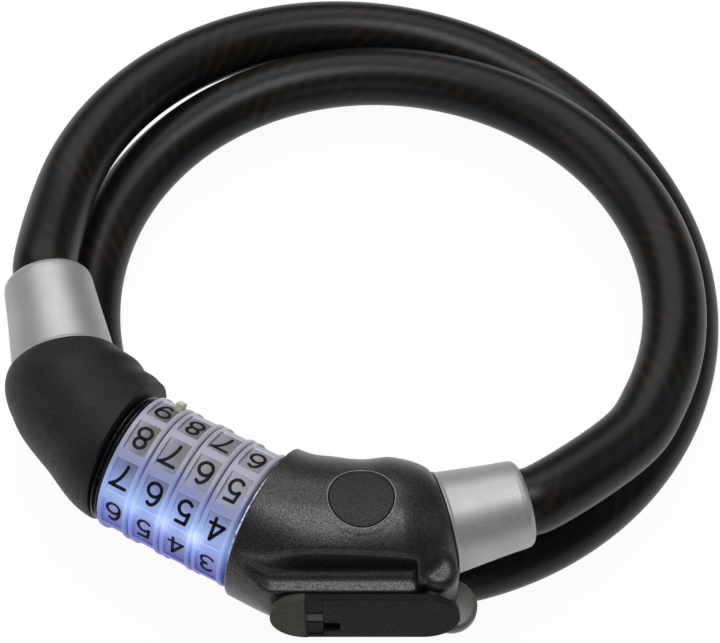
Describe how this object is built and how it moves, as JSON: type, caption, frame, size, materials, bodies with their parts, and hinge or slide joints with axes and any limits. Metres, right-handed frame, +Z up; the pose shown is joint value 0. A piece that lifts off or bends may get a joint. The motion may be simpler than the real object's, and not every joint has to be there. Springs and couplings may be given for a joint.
{
  "type": "combination cable lock",
  "caption": "Coiled cable lock: lit number dials on a barrel, a plug that pulls out to open the loop, a light button, a carrier shoe and a sheathed steel cable in metal ferrules.",
  "frame": {"origin": "middle of the carrier shoe's flat outer face", "axes": "+Z up with the lock lying on its cable, +X along the shoe towards the lock ferrule, +Y from the shoe across the coil"},
  "size_m": [0.1717, 0.1811, 0.0492],
  "materials": {
    "housing": "fine-grained black moulding, satin",
    "grey_plastic": "satin grey moulding",
    "collar": "polished black, ribbed",
    "ferrule": "satin silver",
    "dial": "frosted, lit from inside, black digits",
    "brass": "turned",
    "steel": "plated",
    "sheath": "smoky black sheath, the strands faintly showing",
    "board": "lacquered board",
    "lamp": "clear, lit"
  },
  "bodies": {
    "root": {"lock_housing": "housing", "carrier_shoe": "housing", "shoe_cap": "grey_plastic", "catch_spring": "steel", "cell_cap": "grey_plastic", "cell_1": "steel", "cell_2": "steel", "cell_3": "steel", "cell_spring": "steel", "button_spring": "steel", "circuit_board": "board", "light_switch": "steel", "light_guide": "lamp", "lamp_1": "lamp", "lamp_2": "lamp", "lamp_3": "lamp", "lamp_board": "board", "lock_barrel": "steel", "barrel_pin": "steel", "end_collar": "collar", "lock_ferrule": "ferrule", "lock_crimp": "steel", "lock_crimp_pin": "steel", "cable_sheath": "sheath", "cable_core": "steel"},
    "dial_1_wheel": {"dial_1": "dial", "code_ring_1": "brass"},
    "dial_2_wheel": {"dial_2": "dial", "code_ring_2": "brass"},
    "dial_3_wheel": {"dial_3": "dial", "code_ring_3": "brass"},
    "dial_4_wheel": {"dial_4": "dial", "code_ring_4": "brass"},
    "plug": {"plug_housing": "housing", "locking_bolt": "steel", "bolt_pin": "steel", "plug_ferrule": "ferrule", "plug_crimp": "steel", "plug_crimp_pin": "steel"},
    "button": {"light_button": "housing"},
    "catch": {"shoe_catch": "housing"}
  },
  "joints": [
    {"name": "dial_1_turn", "type": "hinge", "parent": "root", "child": "dial_1_wheel", "pos_m": [-0.04801, 0.03606, -0.0018], "axis": [0.8829, -0.4695, 0], "continuous": true},
    {"name": "dial_2_turn", "type": "hinge", "parent": "root", "child": "dial_2_wheel", "pos_m": [-0.04104, 0.03235, -0.0018], "axis": [0.8829, -0.4695, 0], "continuous": true},
    {"name": "dial_3_turn", "type": "hinge", "parent": "root", "child": "dial_3_wheel", "pos_m": [-0.03406, 0.02865, -0.0018], "axis": [0.8829, -0.4695, 0], "continuous": true},
    {"name": "dial_4_turn", "type": "hinge", "parent": "root", "child": "dial_4_wheel", "pos_m": [-0.02709, 0.02494, -0.0018], "axis": [0.8829, -0.4695, 0], "continuous": true},
    {"name": "plug_pull", "type": "slide", "parent": "root", "child": "plug", "axis": [-0.8829, 0.4695, 0], "range_m": [0, 0.0324], "deforming": ["cable_sheath", "cable_core"]},
    {"name": "button_press", "type": "slide", "parent": "root", "child": "button", "axis": [0, 0, -1], "range_m": [0, 0.0008], "stiffness_N_per_m": 800, "deforming": ["button_spring"]},
    {"name": "catch_press", "type": "slide", "parent": "root", "child": "catch", "axis": [0, 0.9848, -0.1736], "range_m": [0, 0.0012], "stiffness_N_per_m": 600, "deforming": ["catch_spring"]}
  ]
}
